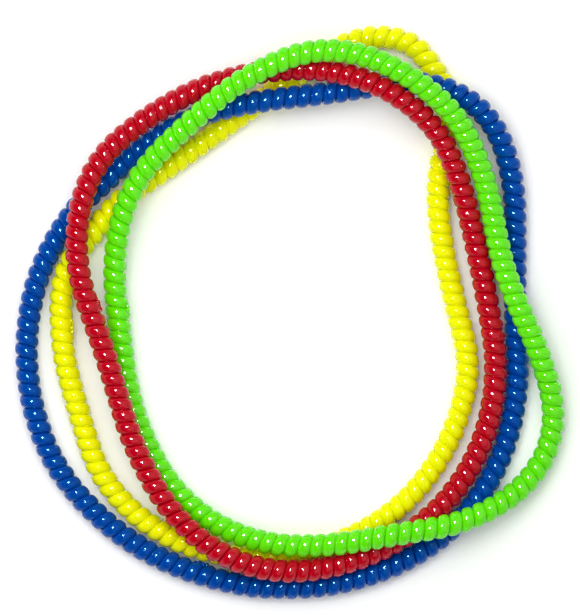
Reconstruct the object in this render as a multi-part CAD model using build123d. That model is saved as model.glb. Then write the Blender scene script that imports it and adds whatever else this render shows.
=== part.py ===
from build123d import *
import os
from math import acos, degrees, hypot, pi, tan

os.makedirs("parts", exist_ok=True)

# Four stretchable coil bands for marking the legs or neck of small livestock, laid loosely in a pile.
# Each band is one round plastic cord wound into a tight coil whose turns touch, bent round into a
# closed loop and fused end to end at its seam. The turns have no bore, so a loop holds nothing inside.
# A band's solid is the outer tube of its coil, along the loop's centreline.
# The origin is on the floor under the middle of the pile, +Z is up and +Y points to the loop of the
# yellow band that reaches out of the pile.

CORD_DIAMETER = 5.2        # the round cord that each coil is wound from
COIL_DIAMETER = 9.4        # outside of the wound coil
COIL_PITCH = 5.0           # from one turn to the next along a straight coil
LAY_CLEARANCE = 0.3        # between two bands where one lies on the other
PLAN_SCALE = 1.0           # size of the loops in plan; 1 is the size of the bands as laid
ARC_SHARE = 0.45           # how much of the shorter run each arc takes up

# Route points: x and y in millimetres, and how many bands lie under that place. A level between two
# whole numbers is a band on its way up or down, or one that rests in the groove between two others.
# Each route starts at the band's seam, in the middle of a straight run, and goes round clockwise.

YELLOW_SEAM = (-91.3, -5.75, 0.0)
YELLOW_ROUTE = [
    (-91.8, 6.0, 0.0), (-88.6, 19.2, 0.0), (-78.9, 30.1, 0.0), (-69.3, 43.7, 0.0),
    (-50.0, 56.5, 0.0), (-24.5, 75.5, 0.0), (0.0, 93.0, 0.0), (20.5, 107.0, 0.0),
    (37.0, 111.0, 0.0), (50.5, 107.0, 0.0), (58.5, 95.5, 0.0), (64.8, 85.0, 0.0),
    (65.3, 72.5, 0.0), (60.5, 57.0, 0.0), (59.0, 41.0, 0.0), (60.5, 25.5, 0.0),
    (66.0, 3.0, 0.0), (72.3, -18.5, 0.0), (69.8, -39.0, 0.0), (59.5, -61.5, 0.0),
    (42.5, -80.5, 0.0), (19.5, -93.0, 0.0), (-8.0, -98.3, 0.0), (-34.9, -95.1, 0.0),
    (-58.7, -83.2, 0.0), (-76.0, -64.5, 0.0), (-84.5, -39.5, 0.0), (-90.8, -17.5, 0.0),
]

BLUE_SEAM = (-36.15, -103.85, 0.0)
BLUE_ROUTE = [
    (-50.8, -99.4, 0.0), (-75.0, -83.1, 0.0), (-93.8, -61.4, 0.0), (-103.6, -35.3, 0.0),
    (-105.4, -9.3, 0.0), (-100.5, 17.2, 0.0), (-86.3, 41.2, 0.0), (-74.2, 51.5, 0.0),
    (-60.0, 66.3, 0.2), (-37.4, 79.2, 0.8), (-11.0, 85.0, 1.08), (16.0, 87.5, 1.0),
    (45.0, 92.0, 1.05), (65.5, 88.5, 1.1), (81.0, 75.0, 0.55), (89.0, 52.0, 0.1),
    (90.3, 24.0, 0.0), (90.0, -3.0, 0.0), (91.5, -30.0, 0.0), (85.6, -57.7, 0.0),
    (70.7, -81.7, 0.0), (48.0, -99.0, 0.0), (20.5, -108.3, 0.0), (-0.5, -110.0, 0.0),
    (-21.5, -108.3, 0.0),
]

RED_SEAM = (-79.9, 1.9, 0.96)
RED_ROUTE = [
    (-84.2, 14.0, 0.98), (-84.5, 38.5, 1.1), (-76.9, 60.1, 1.02), (-58.7, 77.2, 1.04),
    (-34.1, 91.2, 1.04), (-7.0, 97.0, 1.02), (17.5, 96.4, 1.72), (40.0, 88.6, 2.26),
    (58.6, 73.3, 1.35), (68.1, 53.0, 0.88), (74.1, 28.5, 0.56), (79.2, 3.5, 0.5),
    (82.9, -22.0, 0.43), (78.6, -48.9, 0.34), (65.6, -73.3, 0.33), (44.5, -91.5, 0.55),
    (17.5, -102.5, 0.8), (-8.5, -103.8, 1.0), (-31.5, -94.5, 1.14), (-49.3, -77.6, 1.0),
    (-62.3, -53.0, 0.92), (-69.3, -31.5, 0.92), (-75.6, -10.2, 0.94),
]

GREEN_SEAM = (-68.55, 1.0, 0.2)
GREEN_ROUTE = [
    (-70.3, 14.0, 0.35), (-67.6, 38.0, 0.95), (-58.0, 57.8, 1.25), (-39.5, 75.5, 1.85),
    (-19.5, 92.6, 2.12), (5.4, 104.3, 2.18), (27.6, 103.9, 2.26), (50.3, 93.6, 2.5),
    (67.8, 76.5, 1.75), (78.9, 52.1, 0.96), (83.7, 25.0, 0.96), (87.8, 9.0, 1.1),
    (99.5, -17.0, 0.85), (106.3, -38.5, 0.2), (103.5, -57.0, 0.15), (91.0, -73.0, 0.5),
    (69.0, -84.5, 1.15), (43.5, -88.2, 1.68), (17.0, -92.9, 1.22), (-7.5, -93.0, 0.95),
    (-31.0, -84.0, 0.4), (-48.7, -67.5, 0.1), (-59.6, -45.1, 0.0), (-64.6, -27.2, 0.0),
    (-66.8, -12.0, 0.05),
]

ROUTES = {
    "yellow_band": (YELLOW_SEAM, YELLOW_ROUTE),
    "blue_band": (BLUE_SEAM, BLUE_ROUTE),
    "red_band": (RED_SEAM, RED_ROUTE),
    "green_band": (GREEN_SEAM, GREEN_ROUTE),
}


def place(x, y, level):
    """A point of a band's centreline, raised by the bands that lie under it."""
    height = COIL_DIAMETER / 2 + level * (COIL_DIAMETER + LAY_CLEARANCE)
    return Vector(x * PLAN_SCALE, y * PLAN_SCALE, height)


def arc_radii(points):
    """The radius at each corner of an open route, as large as its two runs allow."""
    radii = []
    for before, corner, after in zip(points, points[1:], points[2:]):
        turn = (corner - before).get_angle(after - corner)
        shorter = min((corner - before).length, (after - corner).length)
        radii.append(ARC_SHARE * shorter / tan(turn / 2 * pi / 180))
    return radii


def half_tube(name, points):
    """The tube along one open half of a loop, which starts and ends square to its path."""
    radii = arc_radii(points)
    print(f"{name}: radii {' '.join(f'{radius:.0f}' for radius in radii)}")
    path = FilletPolyline(*points, radius=radii).wire()
    section = Plane(origin=path @ 0, z_dir=path % 0) * Circle(COIL_DIAMETER / 2)
    tube = sweep(section, path=path)
    expected = pi * COIL_DIAMETER**2 / 4 * path.length
    print(f"{name}: length {path.length:.1f}, volume {tube.volume / expected:.4f} of section x length")
    return tube, path.length


def band(name, seam, route):
    """One closed band: two half tubes that meet at the seam and in the middle of the run opposite."""
    seam_point = place(*seam)
    points = [place(*point) for point in route]
    half = len(points) // 2
    opposite = (points[half - 1] + points[half]) / 2
    first, first_length = half_tube(name, [seam_point, *points[:half], opposite])
    second, second_length = half_tube(name, [opposite, *points[half:], seam_point])
    loop = first + second
    loop.label = name
    return loop, first_length + second_length


def cord_length(loop_length):
    """How long the wound cord of a loop is when its turns are pulled straight."""
    winding = pi * (COIL_DIAMETER - CORD_DIAMETER)
    return loop_length / COIL_PITCH * hypot(winding, COIL_PITCH)


for name, (seam, route) in ROUTES.items():
    loop, loop_length = band(name, seam, route)
    cord = cord_length(loop_length)
    volume = cord * pi * CORD_DIAMETER**2 / 4
    print(f"{name}: loop {loop_length:.1f} mm, cord {cord:.0f} mm, plastic {volume / 1000:.1f} cm3")
    export_step(loop, f"parts/{name}.step")
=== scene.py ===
"""Four coil bands for marking the neck or legs of small livestock, laid in a loose pile.

Each band is one cord of soft glossy vinyl, wound into a tight left-handed coil whose turns press
each other a little flat, bent round into a closed loop and fused end to end, which leaves a row of
small lumps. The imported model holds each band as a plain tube; here the tube is replaced by the
wound cord itself, turn by turn, along the same route.
All lengths are in metres, apart from the pitches, which are in millimetres.
"""

import logging
import math
from dataclasses import dataclass, field
from enum import Enum

import bmesh
import bpy
import numpy as np
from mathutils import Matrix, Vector, noise


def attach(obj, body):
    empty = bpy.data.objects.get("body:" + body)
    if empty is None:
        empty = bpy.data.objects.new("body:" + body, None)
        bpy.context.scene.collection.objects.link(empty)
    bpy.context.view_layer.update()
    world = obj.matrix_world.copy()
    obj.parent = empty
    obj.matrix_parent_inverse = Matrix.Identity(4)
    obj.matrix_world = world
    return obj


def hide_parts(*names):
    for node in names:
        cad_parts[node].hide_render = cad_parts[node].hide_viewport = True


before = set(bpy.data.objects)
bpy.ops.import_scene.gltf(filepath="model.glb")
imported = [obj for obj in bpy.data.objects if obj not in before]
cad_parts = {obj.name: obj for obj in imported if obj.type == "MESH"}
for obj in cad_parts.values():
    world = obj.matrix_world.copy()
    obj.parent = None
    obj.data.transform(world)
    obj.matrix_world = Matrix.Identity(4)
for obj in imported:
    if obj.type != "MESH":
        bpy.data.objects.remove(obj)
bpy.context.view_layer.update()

MM = 0.001

log = logging.getLogger("coil_bands")

Colour = tuple[float, float, float]
Point = tuple[float, float, float]

ROUTE_RESOLUTION = 40  # points read from the spline between two points of a route

# Painted shade between the turns: where it starts, from the coil's middle, and over how much
# further in it grows to its full strength, both as shares of the coil's radius.
CREASE_SHADE_TOP = 0.84
CREASE_SHADE_DEPTH = 0.22


class Hand(Enum):
    """Which way a coil is wound."""

    LEFT = -1
    RIGHT = 1


# Route points: x and y in metres, and how many bands lie under that place. Each route starts at the
# band's seam, in the middle of a straight run, and goes round clockwise.

YELLOW_SEAM = (-0.09075, -0.0057, 0.0)
YELLOW_ROUTE = [
    (-0.0913, 0.0060, 0.0), (-0.0884, 0.0192, 0.0), (-0.0791, 0.0302, 0.0), (-0.0693, 0.0437, 0.0),
    (-0.0500, 0.0565, 0.0), (-0.0242, 0.0751, 0.0), (0.0002, 0.0927, 0.0), (0.0205, 0.1070, 0.0),
    (0.0370, 0.1107, 0.0), (0.0506, 0.1068, 0.0), (0.0586, 0.0956, 0.0), (0.0648, 0.0850, 0.0),
    (0.0647, 0.0725, 0.0), (0.0595, 0.0571, 0.0), (0.0592, 0.0410, 0.0), (0.0614, 0.0256, 0.0),
    (0.0663, 0.0030, 0.0), (0.0721, -0.0185, 0.0), (0.0692, -0.0388, 0.0), (0.0591, -0.0613, 0.0),
    (0.0421, -0.0801, 0.0), (0.0194, -0.0927, 0.0), (-0.0080, -0.0983, 0.0), (-0.0352, -0.0955, 0.0),
    (-0.0589, -0.0835, 0.0), (-0.0761, -0.0646, 0.0), (-0.0839, -0.0393, 0.0), (-0.0902, -0.0174, 0.0),
]

BLUE_SEAM = (-0.0362, -0.10405, 0.0)
BLUE_ROUTE = [
    (-0.0508, -0.0994, 0.0), (-0.0750, -0.0831, 0.0), (-0.0938, -0.0614, 0.0), (-0.1034, -0.0353, 0.0),
    (-0.1052, -0.0093, 0.0), (-0.1000, 0.0171, 0.0), (-0.0860, 0.0410, 0.0), (-0.0740, 0.0514, 0.0),
    (-0.0596, 0.0659, 0.2), (-0.0372, 0.0786, 0.8), (-0.0109, 0.0843, 1.08), (0.0161, 0.0870, 1.0),
    (0.0451, 0.0920, 1.05), (0.0658, 0.0890, 1.1), (0.0823, 0.0756, 0.55), (0.0900, 0.0521, 0.1),
    (0.0902, 0.0240, 0.0), (0.0901, -0.0030, 0.0), (0.0917, -0.0300, 0.0), (0.0856, -0.0577, 0.0),
    (0.0709, -0.0816, 0.0), (0.0483, -0.0989, 0.0), (0.0206, -0.1085, 0.0), (-0.0005, -0.1099, 0.0),
    (-0.0216, -0.1087, 0.0),
]

RED_SEAM = (-0.07955, 0.0019, 0.96)
RED_ROUTE = [
    (-0.0841, 0.0140, 0.98), (-0.0845, 0.0385, 1.1), (-0.0769, 0.0601, 1.02), (-0.0584, 0.0767, 1.04),
    (-0.0338, 0.0905, 1.04), (-0.0069, 0.0967, 1.02), (0.0175, 0.0965, 1.72), (0.0400, 0.0886, 2.2),
    (0.0589, 0.0736, 1.35), (0.0681, 0.0530, 0.88), (0.0741, 0.0285, 0.56), (0.0792, 0.0035, 0.5),
    (0.0832, -0.0220, 0.43), (0.0789, -0.0490, 0.34), (0.0656, -0.0733, 0.33), (0.0443, -0.0912, 0.55),
    (0.0174, -0.1019, 0.8), (-0.0085, -0.1034, 1.0), (-0.0315, -0.0942, 1.14), (-0.0490, -0.0774, 1.0),
    (-0.0620, -0.0529, 0.92), (-0.0685, -0.0313, 0.92), (-0.0750, -0.0102, 0.94),
]

GREEN_SEAM = (-0.06845, 0.0010, 0.2)
GREEN_ROUTE = [
    (-0.0701, 0.0140, 0.35), (-0.0673, 0.0380, 0.95), (-0.0578, 0.0577, 1.25), (-0.0393, 0.0753, 1.85),
    (-0.0193, 0.0923, 2.12), (0.0055, 0.1040, 2.18), (0.0274, 0.1035, 2.27), (0.0498, 0.0928, 2.51),
    (0.0681, 0.0768, 1.75), (0.0786, 0.0522, 0.96), (0.0834, 0.0250, 0.96), (0.0881, 0.0091, 1.1),
    (0.1001, -0.0168, 0.85), (0.1063, -0.0385, 0.2), (0.1030, -0.0568, 0.15), (0.0906, -0.0726, 0.5),
    (0.0688, -0.0839, 1.15), (0.0435, -0.0878, 1.68), (0.0170, -0.0926, 1.22), (-0.0075, -0.0928, 0.95),
    (-0.0311, -0.0842, 0.4), (-0.0491, -0.0678, 0.1), (-0.0602, -0.0453, 0.0), (-0.0650, -0.0273, 0.0),
    (-0.0668, -0.0120, 0.05),
]

# From one turn to the next, in millimetres, at twelve equal steps round each band from its seam.
YELLOW_PITCHES = (4.9, 5.2, 4.95, 4.9, 5.3, 5.0, 4.9, 4.8, 4.95, 5.1, 5.15, 5.0)
BLUE_PITCHES = (5.2, 5.05, 5.1, 5.0, 5.05, 5.15, 5.1, 5.15, 5.2, 4.9, 5.15, 5.25)
RED_PITCHES = (5.05, 4.85, 4.9, 4.85, 5.0, 5.05, 4.9, 4.85, 4.9, 4.95, 5.3, 5.1)
GREEN_PITCHES = (5.0, 5.25, 5.0, 4.9, 4.7, 4.6, 4.7, 5.05, 5.15, 5.05, 5.1, 4.95)


@dataclass(frozen=True)
class CoilSize:
    """Sizes of the wound cord, the same on all four bands."""

    cord_diameter: float = 5.2 * MM
    coil_diameter: float = 9.4 * MM
    lay_clearance: float = 0.3 * MM
    squareness: float = 2.45  # 2 is a round cord; more is flatter, as turns pressed together are
    steps_per_turn: int = 28
    ring_resolution: int = 9  # gives 22 corners round the cord

    @property
    def winding_radius(self) -> float:
        """From the middle of the coil to the middle of the cord."""
        return (self.coil_diameter - self.cord_diameter) / 2


@dataclass(frozen=True)
class Unevenness:
    """How a coil strays from a perfect winding. The widths are in steps round the band."""

    steps: int = 2400  # even steps that the middle of the coil is read at
    middle_width: int = 15  # the middle of the coil is evened out over these
    pitch_width: int = 121  # so is the change from one pitch to the next
    drift: float = 0.072  # how far the pitch wanders
    drift_width: int = 61
    swell: float = 0.08  # how far turns lie inside the coil's outside
    swell_width: int = 31
    thinning: float = 0.03  # how far the cord gets thinner
    thinning_width: int = 15


@dataclass(frozen=True)
class Vinyl:
    """Soft glossy vinyl, coloured all the way through and a little translucent."""

    name: str
    face: Colour  # the colour on the outside of a turn
    crease_shade: Colour  # painted shade: a deeper colour between the turns, standing in for the shade there and the light seen through the plastic
    streak: Colour  # faint uneven tone in the colour, from noise in the object's coordinates
    glow_colour: Colour  # how far each colour travels inside the plastic, as a share of its reach
    shine: Colour  # tint of what the surface mirrors
    glow: float = 0.5  # how much light travels inside the plastic
    glow_reach: float = 2.0 * MM
    roughness: float = 0.085
    mirror: float = 0.5  # how strongly the surface mirrors; 0.5 is usual for plastic
    ior: float = 1.52
    streak_scale: float = 260.0  # how fine the streaks are, per metre
    grain_scale: float = 900.0  # how fine the surface's grain is, per metre
    gloss_range: tuple[float, float] = (0.85, 1.15)  # least and most of the roughness, as shares
    grain_strength: float = 0.04
    grain_height: float = 0.05 * MM

    def material(self) -> bpy.types.Material:
        """Make the finish.

        Returns:
            A node material that reads Object coordinates and the cord's own mask of painted shade
            between the turns.
        """
        made = bpy.data.materials.new(self.name)
        made.use_nodes = True
        nodes, links = made.node_tree.nodes, made.node_tree.links
        shader = nodes["Principled BSDF"]
        shader.inputs["Subsurface Weight"].default_value = self.glow
        shader.inputs["Subsurface Radius"].default_value = self.glow_colour
        shader.inputs["Subsurface Scale"].default_value = self.glow_reach
        shader.inputs["IOR"].default_value = self.ior
        shader.inputs["Specular IOR Level"].default_value = self.mirror
        shader.inputs["Specular Tint"].default_value = (*self.shine, 1.0)

        place = nodes.new("ShaderNodeTexCoord")
        streaks = nodes.new("ShaderNodeTexNoise")
        streaks.inputs["Scale"].default_value = self.streak_scale
        streaks.inputs["Detail"].default_value = 3.0
        links.new(place.outputs["Object"], streaks.inputs["Vector"])

        tone = nodes.new("ShaderNodeMix")
        tone.data_type = "RGBA"
        tone.inputs["A"].default_value = (*self.face, 1.0)
        tone.inputs["B"].default_value = (*self.streak, 1.0)
        links.new(streaks.outputs["Fac"], tone.inputs["Factor"])

        # Painted shade: the crease mask mixes the colour towards the deeper crease colour between the
        # turns.
        depth = nodes.new("ShaderNodeAttribute")
        depth.attribute_name = "crease_shade"
        shade = nodes.new("ShaderNodeMix")
        shade.data_type = "RGBA"
        shade.inputs["B"].default_value = (*self.crease_shade, 1.0)
        links.new(depth.outputs["Fac"], shade.inputs["Factor"])
        links.new(tone.outputs["Result"], shade.inputs["A"])
        links.new(shade.outputs["Result"], shader.inputs["Base Color"])

        grain = nodes.new("ShaderNodeTexNoise")
        grain.inputs["Scale"].default_value = self.grain_scale
        grain.inputs["Detail"].default_value = 4.0
        links.new(place.outputs["Object"], grain.inputs["Vector"])
        gloss = nodes.new("ShaderNodeMapRange")
        smoothest, roughest = self.gloss_range
        gloss.inputs["To Min"].default_value = self.roughness * smoothest
        gloss.inputs["To Max"].default_value = self.roughness * roughest
        links.new(grain.outputs["Fac"], gloss.inputs["Value"])
        links.new(gloss.outputs["Result"], shader.inputs["Roughness"])

        bump = nodes.new("ShaderNodeBump")
        bump.inputs["Strength"].default_value = self.grain_strength
        bump.inputs["Distance"].default_value = self.grain_height
        links.new(grain.outputs["Fac"], bump.inputs["Height"])
        links.new(bump.outputs["Normal"], shader.inputs["Normal"])
        return made


def smooth(values: np.ndarray, width: int) -> np.ndarray:
    """Even out a closed row of values.

    Args:
        values: one row for each step round the band.
        width: the steps that each value is evened out over.

    Returns:
        The evened values, in the same shape.
    """
    kernel = np.hanning(width + 2)[1:-1]
    kernel /= kernel.sum()
    flat = values.reshape(len(values), -1)
    padded = np.concatenate([flat[-width:], flat, flat[:width]])
    rows = [np.convolve(column, kernel, "same")[width:-width] for column in padded.T]
    return np.stack(rows, axis=1).reshape(values.shape)


@dataclass(frozen=True)
class Weld:
    """The lumps of melted plastic at a band's seam."""

    angle: float = 165.0  # which way they face, in degrees; 90 is up and 180 is into the loop
    sink: float = 0.4 * MM  # how far each middle lies under the coil's outside
    ripple: float = 0.18  # how uneven a lump is, as a share of its radius
    ripple_scale: float = 0.9 / MM
    subdivisions: int = 3
    # Of each lump: how far along the coil, how many degrees round it, and its radius.
    lumps: tuple[Point, ...] = (
        (-2.2 * MM, 7.0, 0.85 * MM),
        (-0.7 * MM, -8.0, 1.0 * MM),
        (0.8 * MM, 5.0, 0.95 * MM),
        (2.3 * MM, -6.0, 0.8 * MM),
    )


@dataclass
class CoilBand:
    """One closed band: its route, and the cord wound along it."""

    node: str
    body: str
    slot: str
    seam: Point
    route: list[Point]
    pitches: tuple[float, ...]  # from turn to turn in millimetres, at equal steps round the band
    finish: Vinyl
    seed: int
    weld: Weld = field(default_factory=Weld)
    size: CoilSize = field(default_factory=CoilSize)
    uneven: Unevenness = field(default_factory=Unevenness)
    hand: Hand = Hand.LEFT

    def place(self, x: float, y: float, level: float) -> Vector:
        """A point of the centreline, raised by the bands that lie under it."""
        rise = self.size.coil_diameter + self.size.lay_clearance
        return Vector((x, y, self.size.coil_diameter / 2 + level * rise))

    def centreline(self) -> np.ndarray:
        """Read the middle of the coil from a smooth spline through the route.

        Returns:
            Points from the seam round to the seam, one row each.
        """
        seam = self.place(*self.seam)
        points = [seam, *(self.place(*point) for point in self.route), seam]
        curve = bpy.data.curves.new(f"{self.node}_route", "CURVE")
        curve.dimensions = "3D"
        spline = curve.splines.new("NURBS")
        spline.points.add(len(points) - 1)
        for knot, point in zip(spline.points, points):
            knot.co = (*point, 1.0)
        spline.order_u = 3
        spline.use_endpoint_u = True
        spline.resolution_u = ROUTE_RESOLUTION
        holder = bpy.data.objects.new(curve.name, curve)
        mesh = bpy.data.meshes.new_from_object(holder)
        line = np.array([vertex.co for vertex in mesh.vertices], float)
        bpy.data.meshes.remove(mesh)
        bpy.data.objects.remove(holder)
        bpy.data.curves.remove(curve)
        return line

    def winding(self, line: np.ndarray) -> tuple[np.ndarray, np.ndarray, np.ndarray]:
        """Work out where the wound cord runs round the centreline.

        Args:
            line: the middle of the coil, from seam to seam.

        Returns:
            The points of the cord's own middle, the coil's middle beside each of them, and the
            cord's thickness at each, as a share of its usual one.
        """
        rng = np.random.default_rng(self.seed)
        uneven = self.uneven
        count = uneven.steps
        step = np.linalg.norm(np.diff(line, axis=0), axis=1)
        along = np.concatenate([[0.0], np.cumsum(step)])
        total = along[-1]
        even = np.arange(count) * total / count
        middle = np.stack([np.interp(even, along, line[:, k]) for k in range(3)], axis=1)
        middle = smooth(middle, uneven.middle_width)
        ahead = np.roll(middle, -1, axis=0) - np.roll(middle, 1, axis=0)
        tangent = ahead / np.linalg.norm(ahead, axis=1, keepdims=True)

        # How many turns have gone by at each step, made a whole number at the seam.
        stations = np.arange(len(self.pitches) + 1) / len(self.pitches) * count
        pitch = np.interp(np.arange(count), stations, [*self.pitches, self.pitches[0]]) * MM
        wander = smooth(rng.standard_normal(count), uneven.drift_width)
        pitch = smooth(pitch, uneven.pitch_width) * (1 + uneven.drift * wander)
        rate = 1 / pitch
        turns = round(float(rate.mean() * total))
        rate *= turns / (rate.mean() * total)
        phase = np.concatenate([[0.0], np.cumsum(rate) * total / count])

        # The cord's points, evenly spaced in angle.
        cord = turns * self.size.steps_per_turn
        at_turn = np.arange(cord) / self.size.steps_per_turn
        at = np.interp(at_turn, phase, np.arange(count + 1) * total / count) / total * count
        low = np.floor(at).astype(int) % count
        share = (at - np.floor(at))[:, None]

        def between(values: np.ndarray) -> np.ndarray:
            """Values read at the cord's points."""
            return values[low] * (1 - share) + values[(low + 1) % count] * share

        centre, forward = between(middle), between(tangent)
        forward /= np.linalg.norm(forward, axis=1, keepdims=True)
        side = np.cross((0.0, 0.0, 1.0), forward)
        side /= np.linalg.norm(side, axis=1, keepdims=True)
        up = np.cross(forward, side)

        # Turns and cord only get smaller than their size, so the coil stays within its tube.
        swell = smooth(rng.standard_normal((count, 1)), uneven.swell_width)
        radius = self.size.winding_radius * np.minimum(1 + uneven.swell * between(swell), 1)
        start = rng.uniform(0, 2 * math.pi)
        angle = (self.hand.value * 2 * math.pi * at_turn + start)[:, None]
        points = centre + radius * (np.cos(angle) * side + np.sin(angle) * up)
        thinning = smooth(rng.standard_normal((count, 1)), uneven.thinning_width)
        thickness = np.minimum(1 + uneven.thinning * between(thinning)[:, 0], 1)
        log.info(
            "%s: %d turns, %.1f mm round, pitch %.2f mm",
            self.node, turns, total / MM, total / turns / MM,
        )
        return points, centre, thickness

    def wound_cord(self, line: np.ndarray) -> bpy.types.Object:
        """Make the cord's mesh.

        Args:
            line: the middle of the coil, from seam to seam.

        Returns:
            The finished piece, at the origin.
        """
        points, centre, thickness = self.winding(line)
        curve = bpy.data.curves.new(f"{self.node}_cord", "CURVE")
        curve.dimensions = "3D"
        curve.bevel_depth = self.size.cord_diameter / 2
        curve.bevel_resolution = self.size.ring_resolution
        curve.twist_mode = "MINIMUM"
        spline = curve.splines.new("POLY")
        spline.points.add(len(points) - 1)
        weighted = np.concatenate([points, np.ones((len(points), 1))], axis=1)
        spline.points.foreach_set("co", weighted.ravel())
        spline.points.foreach_set("radius", thickness)
        spline.use_cyclic_u = True
        holder = bpy.data.objects.new(curve.name, curve)
        mesh = bpy.data.meshes.new_from_object(holder)
        mesh.name = f"{self.node}_coil"
        bpy.data.objects.remove(holder)
        bpy.data.curves.remove(curve)

        place = np.zeros(len(mesh.vertices) * 3)
        mesh.vertices.foreach_get("co", place)
        place = self.pressed(place.reshape(-1, 3), points, centre)
        mesh.vertices.foreach_set("co", place.ravel())
        ring = len(place) // len(points)
        # Painted shade: corners that lie deep between the turns get a crease mask, which darkens their
        # colour.
        out = np.linalg.norm(place - np.repeat(centre, ring, axis=0), axis=1)
        out /= self.size.coil_diameter / 2
        depth = np.clip((CREASE_SHADE_TOP - out) / CREASE_SHADE_DEPTH, 0, 1)
        self.add_weld(mesh, line)
        depth = np.concatenate([depth, np.zeros(len(mesh.vertices) - len(depth))])
        crease_shade = mesh.attributes.new("crease_shade", "FLOAT", "POINT")
        crease_shade.data.foreach_set("value", depth.astype(np.float32))
        mesh.polygons.foreach_set("use_smooth", np.ones(len(mesh.polygons), bool))
        piece = bpy.data.objects.new(f"{self.node}_coil", mesh)
        bpy.context.scene.collection.objects.link(piece)
        return piece

    def pressed(self, place: np.ndarray, points: np.ndarray, centre: np.ndarray) -> np.ndarray:
        """Flatten the cord's round section a little, as the turns press on each other.

        Args:
            place: the corners of the round cord, ring after ring.
            points: the cord's own middle.
            centre: the coil's middle beside each of those points.

        Returns:
            The corners of the pressed cord.
        """
        ring = len(place) // len(points)
        out = points - centre
        out /= np.linalg.norm(out, axis=1, keepdims=True)
        ahead = np.roll(points, -1, axis=0) - np.roll(points, 1, axis=0)
        ahead /= np.linalg.norm(ahead, axis=1, keepdims=True)
        across = np.cross(ahead, out)
        across /= np.linalg.norm(across, axis=1, keepdims=True)
        out, across, own = (np.repeat(rows, ring, axis=0) for rows in (out, across, points))
        offset = place - own
        high = (offset * out).sum(axis=1) / (self.size.cord_diameter / 2)
        wide = (offset * across).sum(axis=1) / (self.size.cord_diameter / 2)
        power = self.size.squareness
        pressed = (np.abs(high) ** power + np.abs(wide) ** power) ** (1 / power)
        grow = np.hypot(high, wide) / pressed
        return own + offset * grow[:, None]

    def add_weld(self, mesh: bpy.types.Mesh, line: np.ndarray) -> None:
        """Add the row of small lumps where the two ends of the cord are fused.

        Args:
            mesh: the wound cord, which the lumps are added to.
            line: the middle of the coil, from seam to seam.
        """
        forward = Vector(line[2] - line[0]).normalized()
        side = Vector((0.0, 0.0, 1.0)).cross(forward).normalized()
        up = forward.cross(side)
        depth = self.size.coil_diameter / 2 - self.weld.sink
        shape = bmesh.new()
        shape.from_mesh(mesh)
        for number, (along, turn, radius) in enumerate(self.weld.lumps):
            angle = math.radians(self.weld.angle + turn)
            out = side * math.cos(angle) + up * math.sin(angle)
            lump = bmesh.ops.create_icosphere(
                shape, subdivisions=self.weld.subdivisions, radius=radius
            )["verts"]
            middle = Vector(line[0]) + forward * along + out * depth
            shift = Vector((0.0, 0.0, self.seed + number))
            for corner in lump:
                ripple = noise.noise(corner.co * self.weld.ripple_scale + shift)
                corner.co = middle + corner.co * (1 + self.weld.ripple * ripple)
        shape.to_mesh(mesh)
        shape.free()

    def build(self) -> bpy.types.Object:
        """Make the band's cord, dress it and tie it to its body.

        Returns:
            The finished piece.
        """
        line = self.centreline()
        piece = self.wound_cord(line)
        piece.data.materials.clear()
        piece.data.materials.append(self.finish.material())
        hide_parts(self.node)
        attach(piece, self.body)
        return piece


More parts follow.
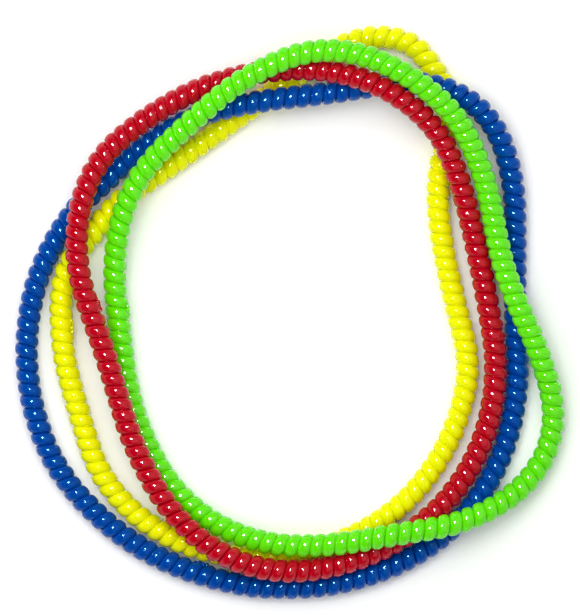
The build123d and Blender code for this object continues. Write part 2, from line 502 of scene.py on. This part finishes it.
@dataclass
class Studio:
    """A pale floor, soft lights and an overhead camera."""

    aim: Point = (0.0004, 0.0020, 0.012)
    view_height: float = 0.2445  # what the long side of the picture takes in at the aim
    camera_distance: float = 3.0
    sensor: float = 36.0
    floor_half: float = 2.5
    floor_colour: Colour = (0.97, 0.97, 0.955)
    room_colour: Colour = (1.0, 1.0, 0.99)
    room_glow: tuple[float, float] = (1.0, 0.03)  # near the floor, and overhead
    room_fade: tuple[float, float] = (0.2, 0.45)  # the heights between which one turns to the other

    def floor(self) -> None:
        """Lay the floor under the pile."""
        mesh = bpy.data.meshes.new("floor")
        shape = bmesh.new()
        bmesh.ops.create_grid(shape, x_segments=1, y_segments=1, size=self.floor_half)
        shape.to_mesh(mesh)
        shape.free()
        piece = bpy.data.objects.new("floor", mesh)
        bpy.context.scene.collection.objects.link(piece)
        made = bpy.data.materials.new("pale_floor")
        made.use_nodes = True
        shader = made.node_tree.nodes["Principled BSDF"]
        shader.inputs["Base Color"].default_value = (*self.floor_colour, 1.0)
        shader.inputs["Roughness"].default_value = 0.7
        shader.inputs["Specular IOR Level"].default_value = 0.2
        mesh.materials.append(made)

    def light(
        self, name: str, place: Point, size: tuple[float, float], bright: float, tilt: bool = True
    ) -> bpy.types.Object:
        """Hang one rectangular light.

        Args:
            name: what the light is called.
            place: where its middle hangs.
            size: its two sides.
            bright: how bright its face looks; 1 is white.
            tilt: whether it turns to face the pile; if not it faces straight down.

        Returns:
            The light.
        """
        lamp = bpy.data.lights.new(name, "AREA")
        lamp.shape = "RECTANGLE"
        lamp.size, lamp.size_y = size
        lamp.energy = bright * math.pi * size[0] * size[1]
        holder = bpy.data.objects.new(name, lamp)
        holder.location = place
        if tilt:
            towards = Vector(self.aim) - Vector(place)
            holder.rotation_euler = towards.to_track_quat("-Z", "Y").to_euler()
        holder.visible_camera = False
        bpy.context.scene.collection.objects.link(holder)
        return holder

    def lights(self) -> None:
        """Hang the lights and set the glow of the room."""
        # The softbox and the sparkle only show as reflections. The fill and the lamp only light.
        softbox = self.light("softbox", (0.98, 0.0, 1.15), (2.2, 2.2), 1.0, tilt=False)
        fill = self.light("fill", (-0.25, 0.35, 1.1), (1.8, 1.8), 2.15, tilt=False)
        lamp = self.light("lamp", (-0.17, 0.22, 1.0), (0.35, 0.35), 4.3)
        sparkle = self.light("sparkle", (-0.15, 0.19, 0.88), (0.24, 0.32), 100.0)
        softbox.visible_diffuse = sparkle.visible_diffuse = False
        fill.visible_glossy = lamp.visible_glossy = False
        world = bpy.data.worlds.new("room")
        world.use_nodes = True
        nodes, links = world.node_tree.nodes, world.node_tree.links
        place = nodes.new("ShaderNodeTexCoord")
        split = nodes.new("ShaderNodeSeparateXYZ")
        fade = nodes.new("ShaderNodeMapRange")
        fade.interpolation_type = "SMOOTHSTEP"
        fade.inputs["From Min"].default_value, fade.inputs["From Max"].default_value = self.room_fade
        fade.inputs["To Min"].default_value, fade.inputs["To Max"].default_value = self.room_glow
        links.new(place.outputs["Generated"], split.inputs["Vector"])
        links.new(split.outputs["Z"], fade.inputs["Value"])
        links.new(fade.outputs["Result"], nodes["Background"].inputs["Strength"])
        nodes["Background"].inputs["Color"].default_value = (*self.room_colour, 1.0)
        bpy.context.scene.world = world

    def camera(self) -> None:
        """Hang the camera straight above the pile."""
        lens = bpy.data.cameras.new("camera")
        lens.sensor_width = self.sensor
        lens.lens = self.sensor * self.camera_distance / self.view_height
        lens.clip_start, lens.clip_end = 0.05, 20.0
        holder = bpy.data.objects.new("camera", lens)
        holder.location = Vector(self.aim) + Vector((0.0, 0.0, self.camera_distance))
        bpy.context.scene.collection.objects.link(holder)
        bpy.context.scene.camera = holder

    def build(self) -> None:
        """Set up the whole studio."""
        self.floor()
        self.lights()
        self.camera()
        bpy.context.scene.view_settings.view_transform = "Standard"


# The crease colours below are painted shade, deeper tones between the turns.
YELLOW = Vinyl(
    "yellow_vinyl",
    face=(0.82, 0.84, 0.001),
    crease_shade=(0.66, 0.46, 0.001),
    streak=(0.85, 0.87, 0.002),
    glow_colour=(1.0, 0.8, 0.2),
    shine=(1.0, 1.0, 0.3),
    mirror=0.38,
)
BLUE = Vinyl(
    "blue_vinyl",
    face=(0.0, 0.056, 0.33),
    crease_shade=(0.0, 0.046, 0.27),
    streak=(0.0, 0.062, 0.36),
    glow_colour=(0.2, 0.4, 1.0),
    shine=(0.16, 0.45, 0.7),
)
RED = Vinyl(
    "red_vinyl",
    face=(0.45, 0.0, 0.009),
    crease_shade=(0.38, 0.0, 0.004),
    streak=(0.48, 0.001, 0.012),
    glow_colour=(1.0, 0.3, 0.3),
    shine=(1.0, 0.55, 0.58),
)
GREEN = Vinyl(
    "green_vinyl",
    face=(0.11, 0.72, 0.001),
    crease_shade=(0.04, 0.48, 0.001),
    streak=(0.13, 0.76, 0.002),
    glow_colour=(0.4, 1.0, 0.3),
    shine=(1.0, 1.0, 0.8),
)


def main() -> None:
    """Build the studio and the four bands."""
    logging.basicConfig(level=logging.INFO, format="%(name)s %(message)s")
    Studio().build()
    bands = [
        CoilBand(
            "yellow_band", "yellow", "yellow_plastic",
            YELLOW_SEAM, YELLOW_ROUTE, YELLOW_PITCHES, YELLOW, 11,
        ),
        CoilBand(
            "blue_band", "blue", "blue_plastic",
            BLUE_SEAM, BLUE_ROUTE, BLUE_PITCHES, BLUE, 23,
        ),
        CoilBand(
            "red_band", "red", "red_plastic",
            RED_SEAM, RED_ROUTE, RED_PITCHES, RED, 37,
        ),
        CoilBand(
            "green_band", "green", "green_plastic",
            GREEN_SEAM, GREEN_ROUTE, GREEN_PITCHES, GREEN, 41,
        ),
    ]
    for band in bands:
        piece = band.build()
        log.info("%s: %d faces", piece.name, len(piece.data.polygons))


if __name__ == "__main__":
    main()
